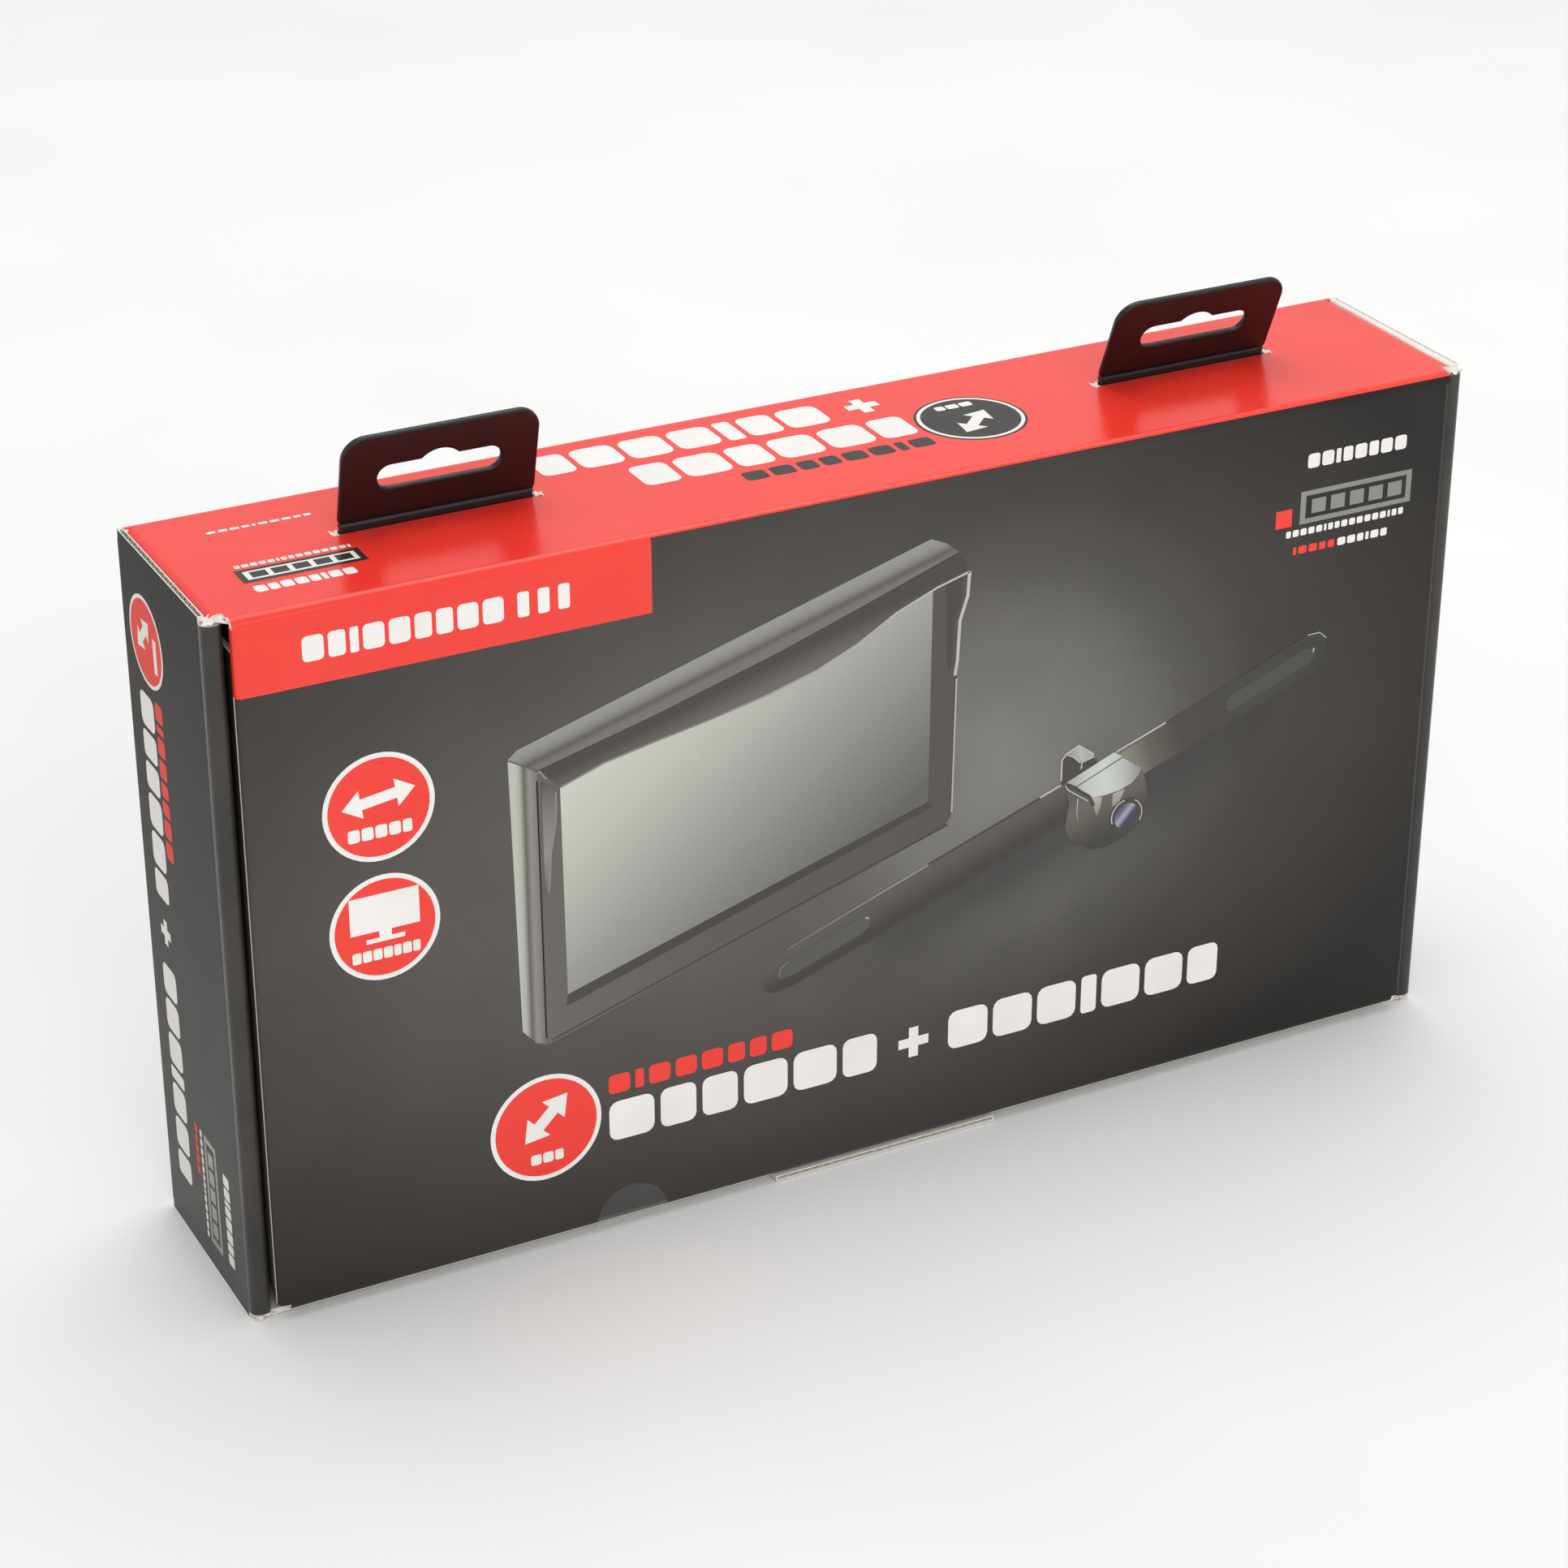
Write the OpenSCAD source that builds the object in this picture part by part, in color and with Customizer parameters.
/* [Carton] */
// Outside length of the carton, end wall to end wall
carton_w = 350; // [346:1:370]
// Outside depth, lid face to back face
carton_d = 64.5; // [64:0.5:70]
// Outside height as the carton stands
carton_h = 192; // [190:0.5:200]
// Thickness of the corrugated board
board_t = 1.6; // [1.5:0.05:1.65]
// Thickness of a rolled end, which is the width of its front spine
end_t = 5.3; // [5:0.05:5.5]
// Gap between the lid panel and each front spine
lid_gap = 0.8; // [0.6:0.05:1.2]
// Gap between the floor and the lid's lower edge
lid_lift = 2; // [1.95:0.01:2.05]
// Length of the lid's tuck flap
tuck_len = 32; // [26:1:33]
// Upward slope of the tuck flap while the carton is shut
tuck_slope = 10; // [9.5:0.5:11]
// Depth of the lid's side ears
ear_len = 36; // [28:1:37]
// Distance of the rolled end spines behind the lid face
spine_setback = 2.8; // [2.4:0.1:3.2]

/* [Hang tabs] */
// Distance of the left hang tab's centre from the middle of the carton
left_tab_x = 103.5; // [95:0.5:115]
// Distance of the right hang tab's centre from the middle of the carton
right_tab_x = 108; // [95:0.5:115]
// Width of a hang tab
tab_w = 51; // [50:0.5:52]
// Length of a hang tab's blade above its crease
tab_len = 24.5; // [24:0.5:26]
// Forward lean of the left blade at rest
left_lean = 14; // [12:1:22]
// Forward lean of the right blade at rest
right_lean = 22; // [12:1:24]

/* [Kit inside] */
// Width of the monitor
monitor_w = 136; // [130:1:140]
// Height of the monitor
monitor_h = 86; // [84:1:92]
// Length of the licence plate bar
bar_w = 198; // [190:1:200]
// Height of the licence plate bar
bar_h = 20; // [18:0.5:21]

/* [Hidden] */

// Carton planes
half_w = carton_w / 2;
front_y = -carton_d / 2;
back_y = carton_d / 2;
lid_back_y = front_y + board_t;
panel_y = back_y - board_t;
ceiling_z = carton_h - board_t;
wall_gap = 0.1;
flap_x = half_w - board_t;
inner_x = half_w - end_t;
lid_x = inner_x - lid_gap;
tongue_x = [-30, 36];
lock_z = 101;
lock_w = 32;
lock_out = 1.5;
slit_y = 3.8;
slit_w = 52;
slit_t = 2.4;
seal_x = -72;
seal_r = 10;
film_t = 0.2;

// Hang tabs
tab_t = 1.6;
tab_pivot_z = carton_h + 1.9;
tab_corner_r = 6;
slot_w = 32;
slot_h = 6.6;
slot_u = 12;
bump_r = 6.5;
bump_h = 2.1;

// Packing
shelf_z = 60;
shelf_front_y = -17;
insert_x = inner_x - 3.2;
divider_x = -10;
leg_y = 5;

// Monitor
mon_x = -90;
mon_z0 = shelf_z + board_t + 0.2;
mon_zc = mon_z0 + monitor_h / 2;
mon_back_y = 29;
mon_seam_y = 13;
mon_face_y = 7;
mon_r = 7;
mon_wall = 2;
screen_w = 112;
screen_h = 66;
screen_z = mon_zc + 2;
visor_y = -16;
visor_t = 1.8;

// Stand
stand_x = 66;
stand_y = 5;
stand_z0 = shelf_z + board_t + 0.1;
stand_pivot_z = stand_z0 + 24;
arm_len = 34;
lug_r = 7;
bolt_r = 2;

// Licence bar and camera
bar_x = -24;
bar_z0 = 16;
bar_zc = bar_z0 + bar_h / 2;
bar_y = 12;
bar_t = 1.6;
bar_slot_x = 83;
bar_slot_w = 30;
bar_slot_h = 6.6;
cam_y = -5;
cam_zc = 24;
cam_w = 26;
cam_h = 23;
cam_d = 20;
lens_r = 7;
screw_r = 2.95;

// Transmitter
tx_lo = [100, 7, 2];
tx_hi = [160, 29, 36];
tx_seam_y = 18;
antenna_x = 95;
antenna_y = 24;
antenna_z = 12;
antenna_len = 40;

// Box between two corners
module slab(lo, hi) {
    translate(lo) cube(hi - lo);
}

// Rectangle with rounded corners, centred
module round_rect(w, h, r) {
    square([w - 2 * r, h], center = true);
    square([w, h - 2 * r], center = true);
    for (sx = [-1, 1], sy = [-1, 1])
        translate([sx * (w / 2 - r), sy * (h / 2 - r)]) circle(r = r, $fn = 48);
}

// Rounded plate facing the lid, from y0 back to y1
module face_plate(x, z, w, h, r, y0, y1) {
    translate([x, y1, z]) rotate([90, 0, 0]) linear_extrude(y1 - y0) round_rect(w, h, r);
}

// Rod along Y
module rod_y(x, z, r, y0, y1) {
    translate([x, y1, z]) rotate([90, 0, 0]) cylinder(r = r, h = y1 - y0, $fn = 48);
}

// Rod along X
module rod_x(y, z, r, x0, x1) {
    translate([x0, y, z]) rotate([0, 90, 0]) cylinder(r = r, h = x1 - x0, $fn = 48);
}

// ---- Carton ----

module back_panel() {
    color([0.30, 0.29, 0.28]) difference() {
        slab([-half_w, panel_y, 0], [half_w, back_y, carton_h]);
        for (s = [-1, 1])
            translate([s * (inner_x + 0.8), panel_y, lock_z])
                cube([2.2, 6 * board_t, lock_w + 1], center = true);
    }
}

module top_wall() {
    color([0.94, 0.25, 0.20]) difference() {
        slab([-flap_x, lid_back_y, ceiling_z], [flap_x, panel_y, carton_h]);
        for (x = [-left_tab_x, right_tab_x])
            translate([x, slit_y, carton_h]) cube([slit_w, slit_t, 6 * board_t], center = true);
    }
}

// The centre tongue reaches the lid face, the rest of the front edge stays behind the lid
module bottom_wall() {
    color([0.30, 0.29, 0.28]) {
        slab([-flap_x, lid_back_y + 2.4, 0], [flap_x, panel_y, board_t]);
        slab([tongue_x[0], front_y + 0.4, 0], [tongue_x[1], lid_back_y + 3, board_t]);
    }
}

// Outer wall, rounded front spine and inner wall with its lock tab, for the right end
module end_wall() {
    spine_y = front_y + spine_setback;
    inner_back_y = panel_y - 0.1;
    r = board_t;
    color([0.30, 0.29, 0.28]) {
        translate([0, 0, board_t + wall_gap]) linear_extrude(ceiling_z - board_t - 2 * wall_gap) {
            translate([inner_x, spine_y + r]) square([board_t, inner_back_y - spine_y - r]);
            translate([inner_x + r, spine_y]) square([end_t - 2 * r, r]);
            translate([inner_x + r, spine_y + r]) circle(r = r, $fn = 32);
            translate([half_w - r, spine_y + r]) circle(r = r, $fn = 32);
        }
        slab([half_w - board_t, spine_y + r, 0], [half_w, panel_y, carton_h]);
        slab([inner_x, panel_y - 1, lock_z - lock_w / 2],
            [inner_x + board_t, back_y + lock_out, lock_z + lock_w / 2]);
    }
}

module end_wall_right() {
    end_wall();
}

module end_wall_left() {
    mirror([1, 0, 0]) end_wall();
}

// Four flaps from the top and bottom walls, held between the walls of each end
module corner_flaps() {
    flap_len = 50;
    color([0.72, 0.60, 0.45]) for (s = [-1, 1], z = [board_t + 0.2, ceiling_z - flap_len - 0.2])
        translate([s * (half_w - end_t / 2), 0, z + flap_len / 2])
            cube([board_t, carton_d - 13, flap_len], center = true);
}

// ---- Lid ----

module lid_panel() {
    color([0.27, 0.26, 0.25]) slab([-lid_x, front_y, lid_lift], [lid_x, lid_back_y, carton_h]);
}

// Side ear for the right end, its corners cut so that it slides in beside the end wall
module lid_ear() {
    low = 8;
    high = carton_h - 9;
    slant = 10;
    profile = [
        [lid_back_y, low], [lid_back_y + ear_len - slant, low], [lid_back_y + ear_len, low + slant],
        [lid_back_y + ear_len, high - slant], [lid_back_y + ear_len - slant, high], [lid_back_y, high]
    ];
    color([0.90, 0.88, 0.84])
        translate([lid_x - board_t, 0, 0]) rotate([90, 0, 90]) linear_extrude(board_t) polygon(profile);
}

module lid_ear_right() {
    lid_ear();
}

module lid_ear_left() {
    mirror([1, 0, 0]) lid_ear();
}

// Clear round film stuck to the lid's lower edge and folded under it
module wafer_seal() {
    color([0.85, 0.88, 0.90, 0.5]) intersection() {
        union() {
            rod_y(seal_x, lid_lift, seal_r, front_y - film_t, front_y);
            slab([seal_x - seal_r, front_y - film_t, lid_lift - film_t],
                [seal_x + seal_r, lid_back_y - 0.3, lid_lift]);
        }
        slab([seal_x - seal_r, front_y - 1, lid_lift - film_t], [seal_x + seal_r, 0, lid_lift + seal_r]);
    }
}

// Flap along the lid's lower crease, tucked in over the bottom wall
module lid_tuck_flap() {
    reach = inner_x - 10;
    slant = 12;
    outline = [
        [-reach, 0.5], [reach, 0.5], [reach, tuck_len - slant], [reach - slant, tuck_len],
        [slant - reach, tuck_len], [-reach, tuck_len - slant]
    ];
    color([0.90, 0.88, 0.84])
        translate([0, lid_back_y, lid_lift]) rotate([tuck_slope, 0, 0])
            linear_extrude(board_t) polygon(outline);
}

// ---- Hang tabs ----

// Plate under the top wall with a neck that comes up through the slit
module hang_tab_foot(x) {
    color([0.08, 0.08, 0.08]) {
        slab([x - tab_w / 2 + 0.5, slit_y - tab_t / 2, ceiling_z - tab_t],
            [x + tab_w / 2 - 0.5, slit_y + tab_t / 2, tab_pivot_z - 0.3]);
        slab([x - 33, slit_y - 8, ceiling_z - tab_t], [x + 33, slit_y + 8, ceiling_z]);
    }
}

module hang_tab_foot_left() {
    hang_tab_foot(-left_tab_x);
}

module hang_tab_foot_right() {
    hang_tab_foot(right_tab_x);
}

// Blade outline: square foot corners, rounded top corners
module blade_outline() {
    start = 0.9;
    r = tab_corner_r;
    translate([-tab_w / 2, start]) square([tab_w, tab_len - start - r]);
    translate([r - tab_w / 2, start]) square([tab_w - 2 * r, tab_len - start]);
    for (s = [-1, 1]) translate([s * (tab_w / 2 - r), tab_len - r]) circle(r = r, $fn = 64);
}

// Euro slot: a long slot with a bump in the middle of its upper edge
module euro_slot() {
    r = slot_h / 2;
    translate([r - slot_w / 2, slot_u - r]) square([slot_w - 2 * r, slot_h]);
    for (s = [-1, 1]) translate([s * (slot_w / 2 - r), slot_u]) circle(r = r, $fn = 48);
    translate([0, slot_u + r + bump_h - bump_r]) circle(r = bump_r, $fn = 48);
}

module hang_tab(x, lean) {
    color([0.10, 0.09, 0.09])
        translate([x, slit_y, tab_pivot_z]) rotate([90 + lean, 0, 0])
            translate([0, 0, -tab_t / 2]) linear_extrude(tab_t) difference() {
                blade_outline();
                euro_slot();
            }
}

module hang_tab_left() {
    hang_tab(-left_tab_x, left_lean);
}

module hang_tab_right() {
    hang_tab(right_tab_x, right_lean);
}

// ---- Packing ----

module insert_shelf() {
    color([0.78, 0.66, 0.50])
        slab([-insert_x, shelf_front_y, shelf_z], [insert_x, panel_y - 0.3, shelf_z + board_t]);
}

// The shelf's two folded-down ends, clear of the tuck flap
module insert_legs() {
    color([0.78, 0.66, 0.50]) for (s = [-1, 1])
        translate([s * (insert_x - board_t / 2), (leg_y + panel_y - 0.3) / 2, (board_t + shelf_z) / 2])
            cube([board_t, panel_y - 0.3 - leg_y, shelf_z - board_t], center = true);
}

module insert_divider() {
    color([0.78, 0.66, 0.50])
        slab([divider_x - board_t / 2, shelf_front_y, shelf_z + board_t],
            [divider_x + board_t / 2, panel_y - 0.3, ceiling_z - 0.3]);
}

// Two foam blocks, each with a groove for the bar
module foam_cradles() {
    color([0.92, 0.92, 0.92]) for (x = [bar_x - 52, bar_x + 52]) difference() {
        slab([x - 11, leg_y, board_t], [x + 11, panel_y - 0.3, bar_z0 + 5]);
        slab([x - 12, bar_y - 0.2, bar_z0 - 0.1], [x + 12, bar_y + bar_t + 0.2, bar_z0 + 6]);
    }
}

module instruction_booklet() {
    color([0.95, 0.95, 0.93]) slab([0, panel_y - 2.6, stand_z0], [105, panel_y - 0.4, stand_z0 + 74]);
}

// ---- Monitor ----

module monitor_rear_shell() {
    color([0.16, 0.16, 0.16]) difference() {
        face_plate(mon_x, mon_zc, monitor_w, monitor_h, mon_r, mon_seam_y, mon_back_y);
        face_plate(mon_x, mon_zc, monitor_w - 2 * mon_wall, monitor_h - 2 * mon_wall,
            mon_r - mon_wall, mon_seam_y - 1, mon_back_y - mon_wall);
        rod_x(mon_back_y - 8, mon_z0 + 14, 3.1, mon_x + monitor_w / 2 - 5, mon_x + monitor_w / 2 + 1);
        for (sx = [-1, 1], sz = [-1, 1])
            rod_y(mon_x + sx * (monitor_w / 2 - 12), mon_zc + sz * (monitor_h / 2 - 12),
                1.6, mon_back_y - 4, mon_back_y + 1);
        for (i = [-4:4])
            translate([mon_x + 5 * i, mon_back_y, mon_zc + 22]) cube([2, 8, 16], center = true);
    }
}

module monitor_bezel() {
    color([0.13, 0.13, 0.13]) difference() {
        face_plate(mon_x, mon_zc, monitor_w, monitor_h, mon_r, mon_face_y, mon_seam_y);
        face_plate(mon_x, screen_z, screen_w, screen_h, 1.5, mon_face_y - 1, mon_face_y + 1.2);
        face_plate(mon_x, screen_z, screen_w + 6, screen_h + 6, 2, mon_face_y + 1.2, mon_seam_y + 1);
    }
}

module monitor_glass() {
    color([0.20, 0.22, 0.22])
        face_plate(mon_x, screen_z, screen_w + 5, screen_h + 5, 1.5, mon_face_y + 1.2, mon_face_y + 2.2);
}

module monitor_lcd() {
    color([0.60, 0.62, 0.60])
        face_plate(mon_x, screen_z, screen_w + 4, screen_h + 4, 1, mon_face_y + 2.4, mon_face_y + 5.6);
}

// Board with its driver chips
module monitor_circuit_board() {
    color([0.05, 0.35, 0.20]) {
        slab([mon_x - 58, mon_seam_y + 2, mon_zc - 32], [mon_x + 58, mon_seam_y + 3.6, mon_zc + 30]);
        for (x = [-40, -12, 18, 40])
            slab([mon_x + x, mon_seam_y + 3.5, mon_zc - 8], [mon_x + x + 14, mon_seam_y + 5.6, mon_zc + 4]);
    }
}

// Cheek of the sun visor seen from the side: deep at the top, stepping back lower down
module visor_cheek() {
    top = mon_z0 + monitor_h + visor_t;
    points = [
        [mon_face_y, top], [visor_y, top], [visor_y, top - 14], [visor_y + 3, top - 22],
        [-4, top - 40], [1, top - 50], [1, mon_z0 + 2], [mon_face_y, mon_z0 + 2]
    ];
    rotate([90, 0, 90]) linear_extrude(visor_t) polygon(points);
}

// Roof with a hollowed front edge and two cheeks, clipped over the monitor's face
module monitor_visor() {
    top = mon_z0 + monitor_h + 0.1;
    half = monitor_w / 2 + 0.1;
    sweep_r = 300;
    color([0.11, 0.11, 0.11]) {
        difference() {
            slab([mon_x - half, visor_y, top], [mon_x + half, mon_face_y + 3, top + visor_t - 0.1]);
            translate([mon_x, visor_y + 6 - sweep_r, top - 5]) cylinder(r = sweep_r, h = 10, $fn = 360);
        }
        translate([mon_x - half - visor_t, 0, 0]) visor_cheek();
        translate([mon_x + half, 0, 0]) visor_cheek();
    }
}

module monitor_gland() {
    x = mon_x + monitor_w / 2;
    color([0.07, 0.07, 0.07]) difference() {
        union() {
            rod_x(mon_back_y - 8, mon_z0 + 14, 3, x - 3.5, x + 0.1);
            rod_x(mon_back_y - 8, mon_z0 + 14, 4.2, x, x + 1.6);
        }
        rod_x(mon_back_y - 8, mon_z0 + 14, 1.6, x - 4, x + 2);
    }
}

module monitor_shell_screws() {
    color([0.45, 0.45, 0.46]) for (sx = [-1, 1], sz = [-1, 1])
        rod_y(mon_x + sx * (monitor_w / 2 - 12), mon_zc + sz * (monitor_h / 2 - 12),
            1.5, mon_back_y - 6, mon_back_y - 0.6);
}

// ---- Monitor stand ----

module stand_pad() {
    color([0.75, 0.20, 0.15]) translate([stand_x, stand_y, stand_z0]) cylinder(r = 19, h = 1.2, $fn = 72);
}

// Domed foot with two lugs for the arm's pivot
module stand_base() {
    z = stand_z0 + 1.2;
    color([0.12, 0.12, 0.12]) difference() {
        union() {
            translate([stand_x, stand_y, z]) rotate_extrude($fn = 96)
                polygon([[0, 0], [20, 0], [20, 2.5], [16, 6], [9, 8], [0, 8]]);
            for (y = [stand_y - 8, stand_y + 4.3]) {
                rod_y(stand_x, stand_pivot_z, lug_r, y, y + 3.7);
                slab([stand_x - lug_r, y, z + 6], [stand_x + lug_r, y + 3.7, stand_pivot_z]);
            }
        }
        rod_y(stand_x, stand_pivot_z, bolt_r + 0.05, stand_y - 12, stand_y + 12);
    }
}

// Arm from the pivot eye up to the neck that the head turns on
module stand_arm() {
    top = stand_pivot_z + arm_len;
    color([0.14, 0.14, 0.14]) difference() {
        union() {
            rod_y(stand_x, stand_pivot_z, lug_r, stand_y - 4, stand_y + 4);
            slab([stand_x - 5, stand_y - 4, stand_pivot_z], [stand_x + 5, stand_y + 4, top - 12]);
            translate([stand_x, stand_y, top - 12]) cylinder(r = 3, h = 12, $fn = 48);
            translate([stand_x, stand_y, top]) cylinder(r = 4.5, h = 1.5, $fn = 48);
        }
        rod_y(stand_x, stand_pivot_z, bolt_r + 0.05, stand_y - 5, stand_y + 5);
    }
}

// Head that turns on the neck, with the tongue that slides into a monitor
module stand_head() {
    neck_z = stand_pivot_z + arm_len - 11.5;
    color([0.12, 0.12, 0.12]) {
        difference() {
            translate([stand_x, stand_y, neck_z]) cylinder(r = 9, h = 17, $fn = 72);
            translate([stand_x, stand_y, neck_z - 1]) cylinder(r = 3.05, h = 13, $fn = 48);
            translate([stand_x, stand_y, neck_z + 11]) cylinder(r = 4.9, h = 2.6, $fn = 48);
        }
        slab([stand_x - 14, stand_y - 2, neck_z + 17], [stand_x + 14, stand_y + 2, neck_z + 19]);
        slab([stand_x - 9, stand_y - 1.5, neck_z + 19], [stand_x + 9, stand_y + 1.5, neck_z + 26]);
    }
}

// Ribbed hand knob on the pivot bolt
module stand_knob() {
    y = stand_y - 8.3;
    color([0.10, 0.10, 0.10]) {
        difference() {
            rod_y(stand_x, stand_pivot_z, 8, y - 7, y);
            for (i = [0:11])
                rod_y(stand_x + 8.6 * cos(30 * i), stand_pivot_z + 8.6 * sin(30 * i), 1.3, y - 8, y - 1.5);
        }
        rod_y(stand_x, stand_pivot_z, bolt_r, y - 1, stand_y + 12.4);
    }
}

module stand_nut() {
    color([0.70, 0.71, 0.73]) difference() {
        translate([stand_x, stand_y + 11.3, stand_pivot_z]) rotate([90, 0, 0])
            cylinder(r = 4.4, h = 3.2, $fn = 6);
        rod_y(stand_x, stand_pivot_z, bolt_r + 0.08, stand_y + 7, stand_y + 13);
    }
}

// ---- Licence plate bar ----

// Flat bar with round ends and a long slot near each end
module licence_bar() {
    color([0.15, 0.15, 0.15]) difference() {
        face_plate(bar_x, bar_zc, bar_w, bar_h, bar_h / 2 - 0.1, bar_y, bar_y + bar_t);
        for (s = [-1, 1])
            face_plate(bar_x + s * bar_slot_x, bar_zc, bar_slot_w, bar_slot_h,
                bar_slot_h / 2 - 0.05, bar_y - 1, bar_y + bar_t + 1);
    }
}

// Strap hooked over the bar's upper edge
module bar_hook_clip() {
    hook_y = bar_y + bar_t + 0.2;
    profile = [
        [bar_y - 1.8, bar_zc], [bar_y - 1.8, bar_z0 + bar_h + 3], [hook_y + 1.4, bar_z0 + bar_h + 3],
        [hook_y + 1.4, bar_zc - 3], [hook_y, bar_zc - 3], [hook_y, bar_z0 + bar_h + 1.6],
        [bar_y - 0.2, bar_z0 + bar_h + 1.6], [bar_y - 0.2, bar_zc]
    ];
    color([0.12, 0.12, 0.12])
        translate([bar_x - 5, 0, 0]) rotate([90, 0, 90]) linear_extrude(10) polygon(profile);
}

// Yoke with two arms that hold the camera's pivot screws
module camera_bracket() {
    arm_x = cam_w / 2 + 0.5;
    color([0.13, 0.13, 0.13]) difference() {
        union() {
            slab([bar_x - arm_x - 2, bar_y - 3.8, cam_zc - 6], [bar_x + arm_x + 2, bar_y - 2, cam_zc + 10]);
            for (x = [bar_x - arm_x - 2, bar_x + arm_x]) {
                slab([x, cam_y, cam_zc - 5], [x + 2, bar_y - 3, cam_zc + 5]);
                rod_x(cam_y, cam_zc, 5, x, x + 2);
            }
        }
        rod_x(cam_y, cam_zc, 1.15, bar_x - cam_w, bar_x + cam_w);
    }
}

// Rounded housing, open at the front for the lens block and hollow for the board
module camera_housing() {
    r = 4;
    color([0.14, 0.14, 0.14]) difference() {
        hull() for (x = [-1, 1], y = [-1, 1], z = [-1, 1])
            translate([bar_x + x * (cam_w / 2 - r), cam_y + y * (cam_d / 2 - r - 2),
                cam_zc + z * (cam_h / 2 - r)]) sphere(r = r, $fn = 32);
        slab([bar_x - 9, cam_y - 20, cam_zc - 8], [bar_x + 9, cam_y + 5.5, cam_zc + 8]);
        rod_x(cam_y, cam_zc, 1.15, bar_x - cam_w, bar_x + cam_w);
        rod_y(bar_x + 6, cam_zc - 5, 1.9, cam_y, cam_y + cam_d);
    }
}

// Front cover with the lens opening and a short brow over it
module camera_front() {
    y = cam_y - cam_d / 2 - 1;
    color([0.12, 0.12, 0.12]) difference() {
        union() {
            face_plate(bar_x, cam_zc, 17.6, 15.6, 3, y, cam_y - 4);
            rod_y(bar_x, cam_zc, lens_r + 1.6, y - 1.5, y + 1);
        }
        rod_y(bar_x, cam_zc, lens_r - 1.2, y - 3, cam_y);
    }
}

// Stepped barrel behind the cover
module camera_lens_barrel() {
    y = cam_y - cam_d / 2 - 1;
    color([0.05, 0.05, 0.05]) difference() {
        rod_y(bar_x, cam_zc, lens_r - 1.4, y - 0.6, cam_y - 3.8);
        rod_y(bar_x, cam_zc, 4, y - 1.6, y + 2.2);
        rod_y(bar_x, cam_zc, 2.4, y + 2, cam_y - 3);
    }
}

module camera_lens_glass() {
    y = cam_y - cam_d / 2 + 0.9;
    dome_r = 6;
    color([0.10, 0.16, 0.35]) intersection() {
        rod_y(bar_x, cam_zc, 3.9, y - 3, y + 0.3);
        translate([bar_x, y + 4, cam_zc]) sphere(r = dome_r, $fn = 48);
    }
}

module camera_circuit_board() {
    color([0.05, 0.35, 0.20]) {
        slab([bar_x - 8.5, cam_y - 3.4, cam_zc - 7.5], [bar_x + 8.5, cam_y - 2, cam_zc + 7.5]);
        slab([bar_x - 3, cam_y - 2.1, cam_zc - 3], [bar_x + 3, cam_y - 1, cam_zc + 3]);
    }
}

module camera_gland() {
    color([0.06, 0.06, 0.06]) difference() {
        rod_y(bar_x + 6, cam_zc - 5, 1.8, cam_y + 3, cam_y + cam_d / 2 - 1);
        rod_y(bar_x + 6, cam_zc - 5, 0.9, cam_y, cam_y + cam_d);
    }
}

// Shoulder screws through the yoke into the housing
module camera_pivot_screws() {
    arm_x = cam_w / 2 + 0.5;
    color([0.70, 0.71, 0.73]) for (s = [-1, 1]) {
        head = s < 0 ? [bar_x - arm_x - 3.4, bar_x - arm_x - 2.1] : [bar_x + arm_x + 2.1, bar_x + arm_x + 3.4];
        shank = s < 0 ? [head[1] - 0.2, bar_x - 9.5] : [bar_x + 9.5, head[0] + 0.2];
        rod_x(cam_y, cam_zc, 2.8, head[0], head[1]);
        rod_x(cam_y, cam_zc, 1.1, shank[0], shank[1]);
    }
}

// Two plate screws kept in the bar's slots
module plate_screws() {
    color([0.72, 0.73, 0.75]) for (s = [-1, 1]) {
        x = bar_x + s * bar_slot_x;
        difference() {
            rod_y(x, bar_zc, 5.8, bar_y - 3.6, bar_y - 0.1);
            translate([x, bar_y - 2.2, bar_zc]) cube([8, 4, 1.4], center = true);
        }
        rod_y(x, bar_zc, screw_r, bar_y - 0.2, bar_y + 7);
    }
}

module plate_nuts() {
    color([0.72, 0.73, 0.75]) for (s = [-1, 1]) difference() {
        translate([bar_x + s * bar_slot_x, bar_y + bar_t + 4.9, bar_zc]) rotate([90, 0, 0])
            cylinder(r = 5.7, h = 4.8, $fn = 6);
        rod_y(bar_x + s * bar_slot_x, bar_zc, screw_r + 0.05, bar_y, bar_y + 12);
    }
}

// ---- Wireless transmitter ----

module tx_shell(y0, y1, cavity_y0, cavity_y1) {
    size = tx_hi - tx_lo;
    mid = (tx_hi + tx_lo) / 2;
    difference() {
        face_plate(mid[0], mid[2], size[0], size[2], 4, y0, y1);
        face_plate(mid[0], mid[2], size[0] - 3.6, size[2] - 3.6, 2.2, cavity_y0, cavity_y1);
    }
}

module transmitter_base() {
    color([0.17, 0.17, 0.17]) difference() {
        tx_shell(tx_seam_y, tx_hi[1], tx_seam_y - 1, tx_hi[1] - 1.8);
        rod_x(tx_hi[1] - 5.5, 26, 2.1, tx_lo[0] - 1, tx_lo[0] + 6);
    }
    antenna_lugs();
}

// Two ears that hold the antenna's pin
module antenna_lugs() {
    color([0.17, 0.17, 0.17]) for (y = [antenna_y - 4, antenna_y + 2.2]) difference() {
        union() {
            rod_y(antenna_x, antenna_z, 3.2, y, y + 1.8);
            slab([antenna_x, y, antenna_z - 3.2], [tx_lo[0] + 0.1, y + 1.8, antenna_z + 3.2]);
        }
        rod_y(antenna_x, antenna_z, 1.25, y - 1, y + 3);
    }
}

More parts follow.
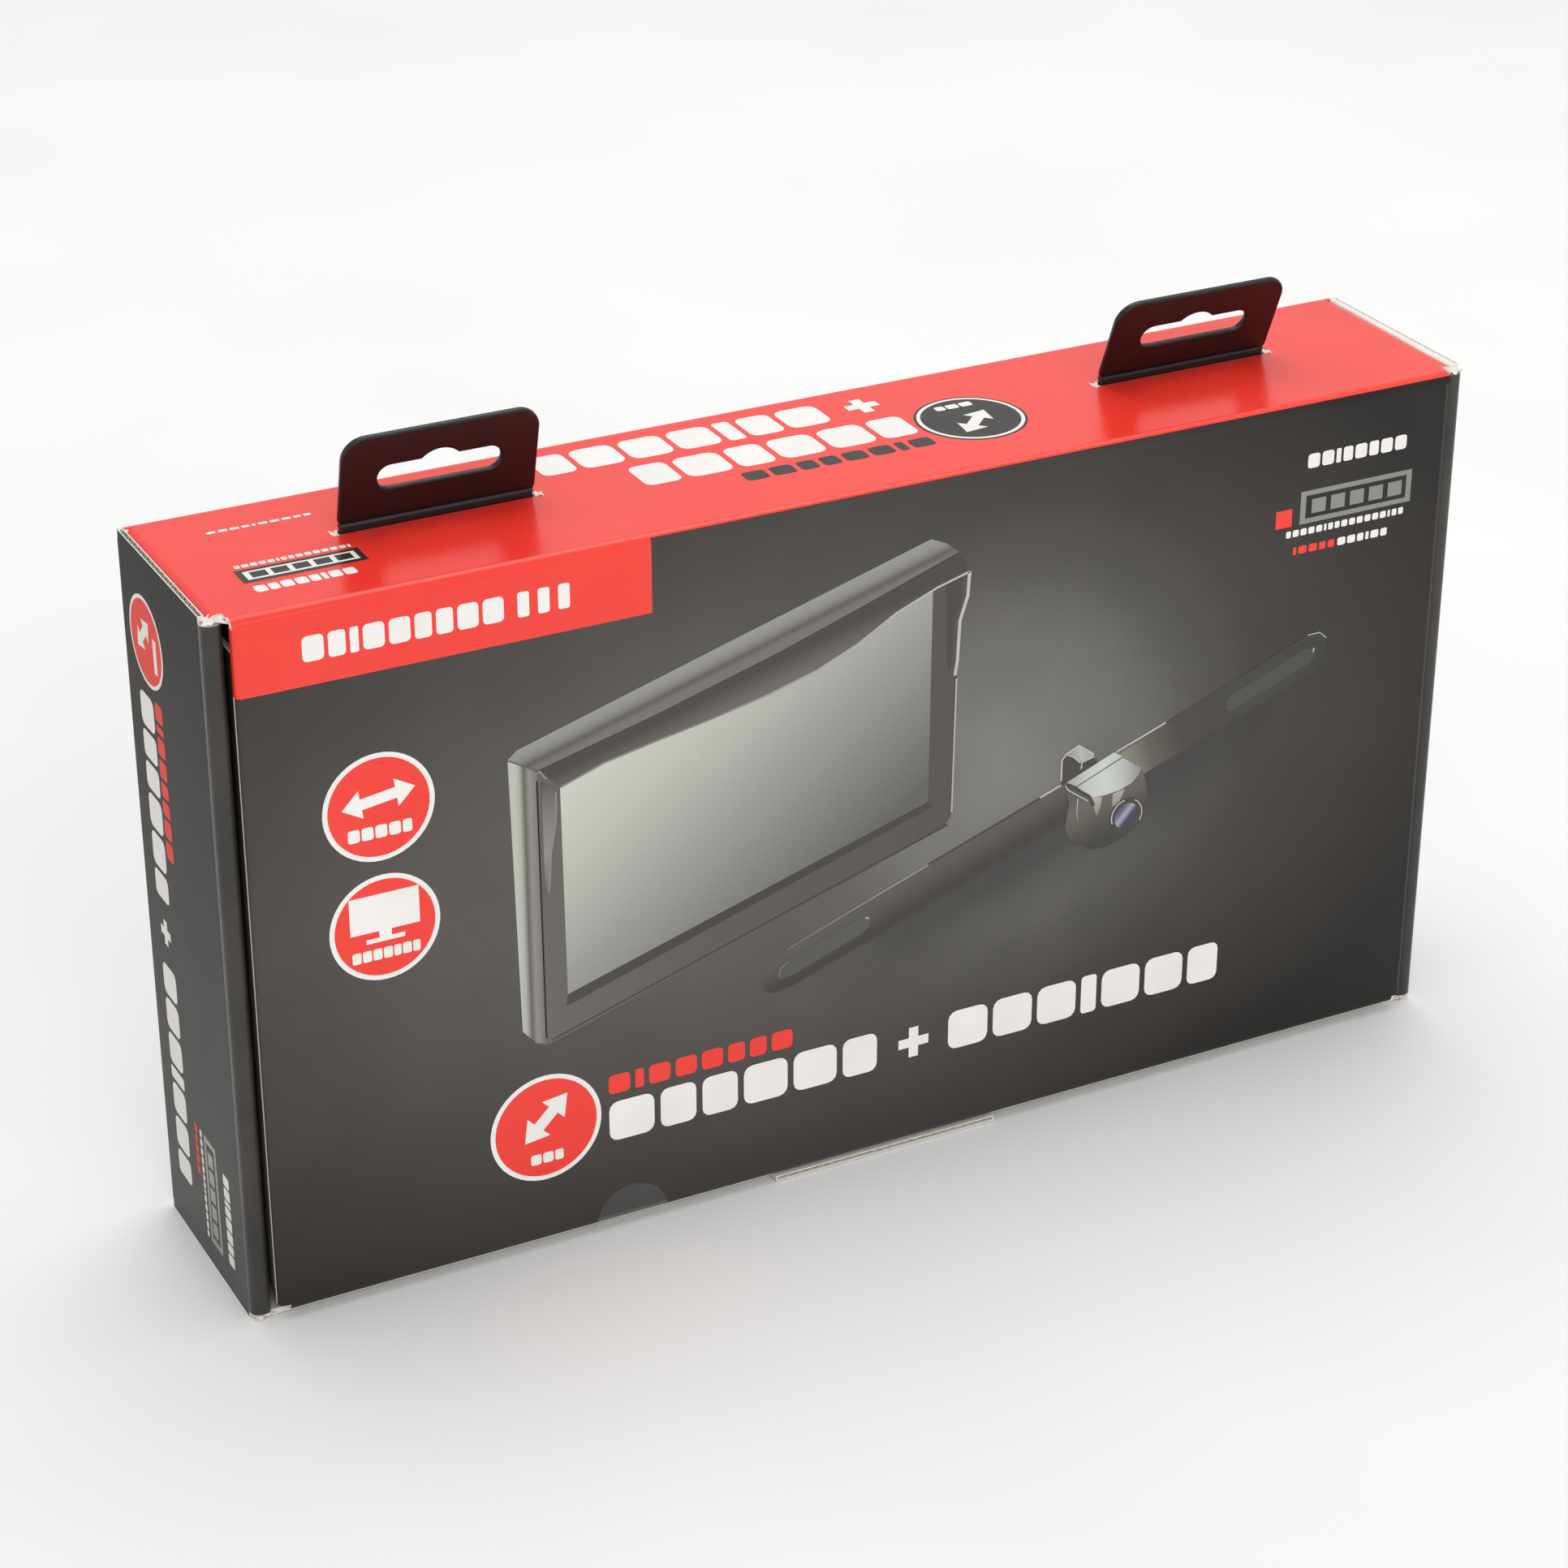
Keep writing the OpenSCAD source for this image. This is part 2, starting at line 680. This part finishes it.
module transmitter_cover() {
    color([0.15, 0.15, 0.15]) difference() {
        tx_shell(tx_lo[1], tx_seam_y, tx_lo[1] + 1.8, tx_seam_y + 1);
        for (i = [-3:3]) translate([(tx_lo[0] + tx_hi[0]) / 2 + 5 * i, tx_lo[1], 19])
            cube([1.6, 1.6, 18], center = true);
    }
}

module transmitter_board() {
    color([0.05, 0.35, 0.20]) {
        slab([tx_lo[0] + 4, tx_seam_y + 1, tx_lo[2] + 3], [tx_hi[0] - 4, tx_seam_y + 2.4, tx_hi[2] - 4]);
        slab([tx_lo[0] + 18, tx_seam_y - 2, 12], [tx_lo[0] + 34, tx_seam_y + 1.1, 26]);
    }
}

module transmitter_gland() {
    y = tx_hi[1] - 5.5;
    color([0.06, 0.06, 0.06]) difference() {
        union() {
            rod_x(y, 26, 2, tx_lo[0] - 0.1, tx_lo[0] + 5);
            rod_x(y, 26, 3, tx_lo[0] - 1.2, tx_lo[0] - 0.05);
        }
        rod_x(y, 26, 1.1, tx_lo[0] - 3, tx_lo[0] + 6);
    }
}

// Stub antenna on a pin between the ears, upright at rest
module transmitter_antenna() {
    color([0.08, 0.08, 0.08]) {
        rod_y(antenna_x, antenna_z, 1.2, antenna_y - 4, antenna_y + 4);
        rod_y(antenna_x, antenna_z, 3.2, antenna_y - 1.9, antenna_y + 1.9);
        translate([antenna_x, antenna_y, antenna_z + 4]) cylinder(r = 2.4, h = antenna_len - 4, $fn = 48);
        translate([antenna_x, antenna_y, antenna_z]) cylinder(r = 1.8, h = 5, $fn = 48);
    }
}

back_panel();
top_wall();
bottom_wall();
end_wall_left();
end_wall_right();
corner_flaps();
lid_panel();
lid_ear_left();
lid_ear_right();
wafer_seal();
lid_tuck_flap();
hang_tab_foot_left();
hang_tab_foot_right();
hang_tab_left();
hang_tab_right();
insert_shelf();
insert_legs();
insert_divider();
foam_cradles();
instruction_booklet();
monitor_rear_shell();
monitor_bezel();
monitor_glass();
monitor_lcd();
monitor_circuit_board();
monitor_visor();
monitor_gland();
monitor_shell_screws();
stand_pad();
stand_base();
stand_arm();
stand_head();
stand_knob();
stand_nut();
licence_bar();
bar_hook_clip();
camera_bracket();
camera_housing();
camera_front();
camera_lens_barrel();
camera_lens_glass();
camera_circuit_board();
camera_gland();
camera_pivot_screws();
plate_screws();
plate_nuts();
transmitter_base();
transmitter_cover();
transmitter_board();
transmitter_gland();
transmitter_antenna();
